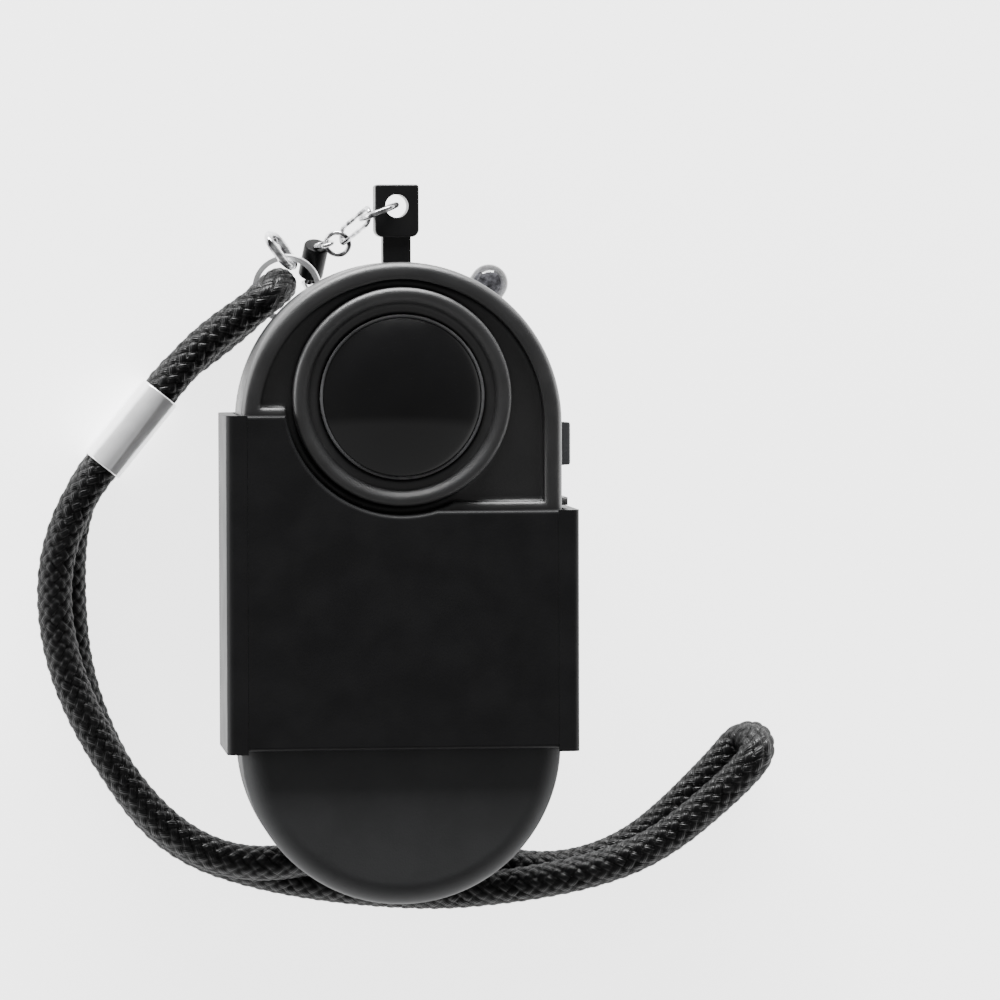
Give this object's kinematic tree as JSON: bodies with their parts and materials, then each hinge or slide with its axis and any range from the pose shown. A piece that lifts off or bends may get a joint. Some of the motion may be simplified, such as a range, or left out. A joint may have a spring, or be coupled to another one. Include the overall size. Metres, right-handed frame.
{
  "type": "motion sensor alarm",
  "caption": "Pocket motion sensor alarm: capsule case with domed lens in a clip-on sleeve, pull pin on a short chain and a braided wrist strap.",
  "frame": {"origin": "outer face of the belt clip, on which the alarm lies, under the middle of the case's length and width", "axes": "+X across the case to the side of the mode switch, +Y along the case towards the pull pin, +Z out through the lens"},
  "size_m": [0.1271, 0.1244, 0.0375],
  "materials": {
    "matte_black": "fine satin texture",
    "charcoal": "fine satin texture",
    "gloss_black": "polished",
    "seal_rubber": "matte",
    "board_green": "solder mask",
    "chip_black": "moulded epoxy",
    "cell_wrap": "printed sleeve",
    "clear_lamp": "clear moulding",
    "steel": "plain",
    "chrome_wire": "polished plating",
    "black_cord": "braided polyester"
  },
  "bodies": {
    "case": {"front_shell": "matte_black", "back_shell": "matte_black", "lens_dome": "gloss_black", "lens_gasket": "seal_rubber", "lens_retainer": "matte_black", "circuit_board": "board_green", "siren_sounder": "matte_black", "pir_sensor": "steel", "controller_chip": "chip_black", "booster_coil": "steel", "capacitor": "steel", "case_screw_1": "steel", "case_screw_2": "steel", "case_screw_3": "steel", "case_screw_4": "steel", "battery_1": "cell_wrap", "battery_2": "cell_wrap", "battery_3": "cell_wrap", "upper_contacts": "steel", "mode_switch_body": "matte_black", "lamp_led": "clear_lamp", "sleeve_body": "matte_black", "front_plate": "gloss_black", "clip_hinge_pin": "steel", "clip_spring": "steel", "pin_contact_left": "steel", "pin_contact_right": "steel"},
    "cap": {"battery_cap": "charcoal", "cap_contact": "steel"},
    "clip": {"belt_clip": "matte_black"},
    "switch": {"mode_switch_knob": "matte_black"},
    "pin": {"pull_pin": "matte_black", "pin_ring": "chrome_wire", "chain_link": "chrome_wire", "round_ring": "chrome_wire", "barrel": "matte_black", "barrel_fittings": "chrome_wire", "split_ring": "chrome_wire", "eye_link": "steel", "ring_loop": "black_cord", "wrist_loop": "black_cord", "ferrule": "chrome_wire"}
  },
  "joints": [
    {"name": "pin_pull", "type": "slide", "parent": "case", "child": "pin", "axis": [0, 1, 0], "range_m": [0, 0.014]},
    {"name": "mode_switch", "type": "slide", "parent": "case", "child": "switch", "axis": [0, 1, 0], "range_m": [-0.0015, 0.0015]},
    {"name": "cap_slide", "type": "slide", "parent": "case", "child": "cap", "axis": [0, -1, 0], "range_m": [0, 0.012]},
    {"name": "clip_hinge", "type": "hinge", "parent": "case", "child": "clip", "pos_m": [0, 0.004, 0.0062], "axis": [1, 0, 0], "range_deg": [0, 16], "stiffness_Nm_per_rad": 0.02, "springref_deg": -11.46, "deforming": ["clip_spring"]}
  ]
}
